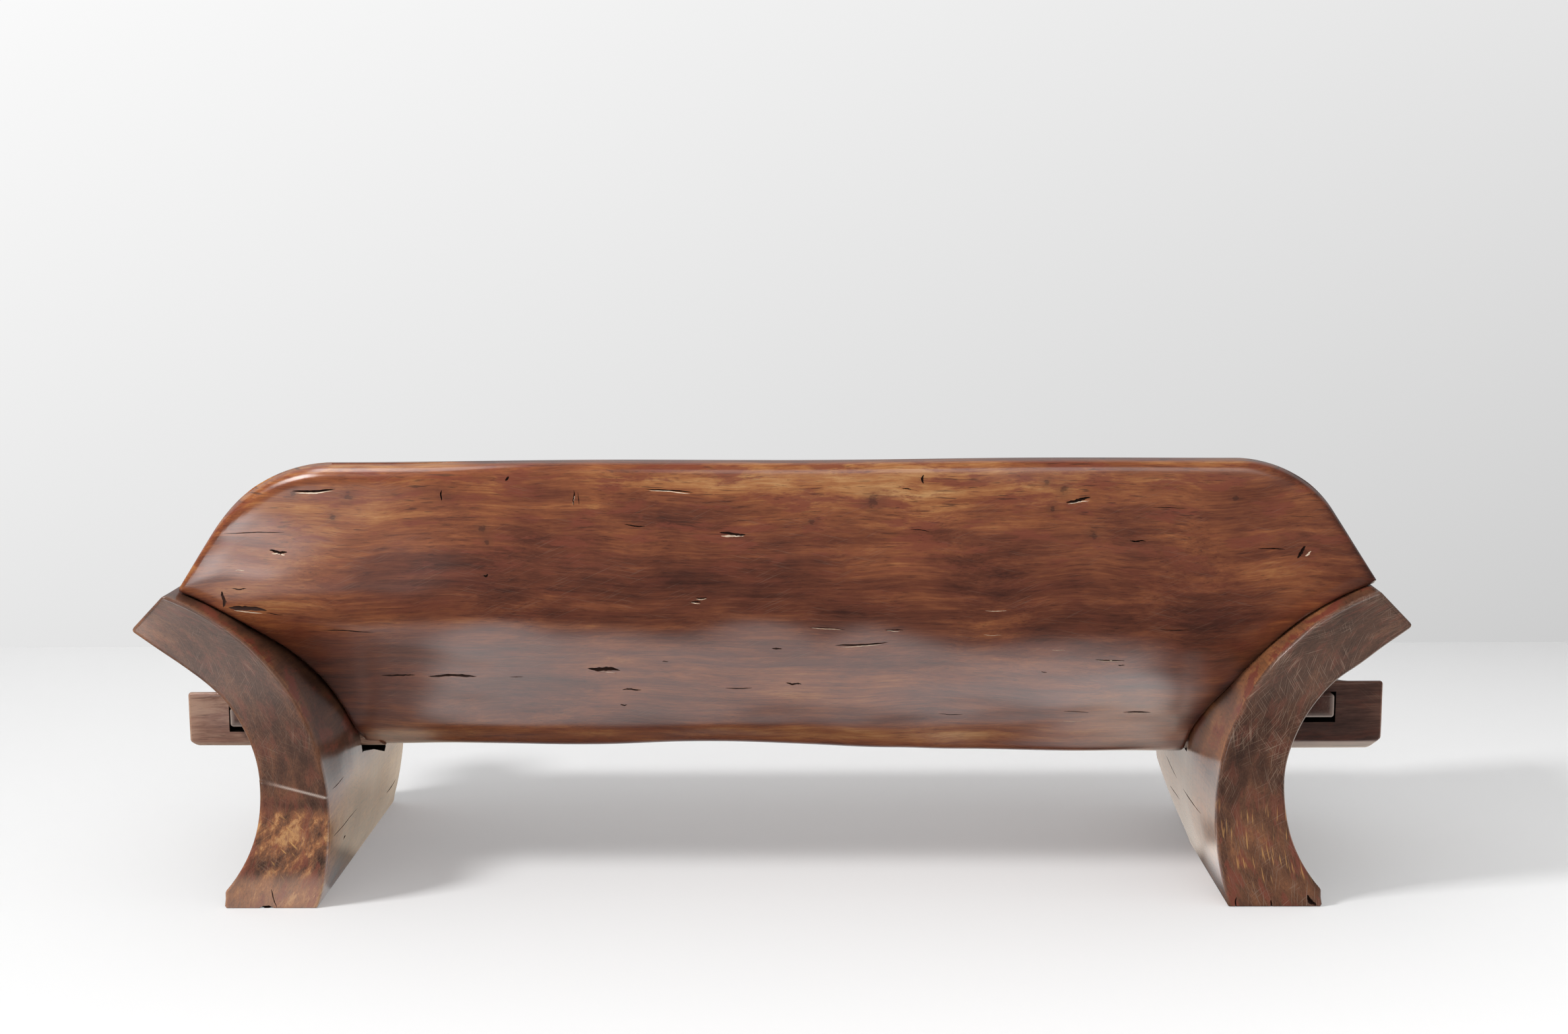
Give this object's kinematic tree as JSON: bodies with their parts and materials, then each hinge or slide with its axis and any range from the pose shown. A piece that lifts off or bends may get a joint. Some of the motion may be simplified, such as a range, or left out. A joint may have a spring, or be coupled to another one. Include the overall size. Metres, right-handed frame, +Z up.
{
  "type": "hewn trunk bench",
  "caption": "Long bench: a hollowed trunk forms seat and back, cradled by two crescent legs and locked by wedge keys through its tenons.",
  "frame": {"origin": "centre of the bench's bounding box, on the floor", "axes": "+X along the bench, to the right of someone who looks at its back; +Y from the back towards the side that the sitter faces; +Z up"},
  "size_m": [2.434, 0.7124, 0.848],
  "materials": {
    "trunk_wood": "waxed and polished, worn",
    "leg_wood": "waxed, worn and scratched",
    "key_wood": "waxed, worn"
  },
  "bodies": {
    "root": {"seat_back": "trunk_wood", "leg_left": "leg_wood", "leg_right": "leg_wood", "key_left": "key_wood", "key_right": "key_wood"}
  },
  "joints": []
}
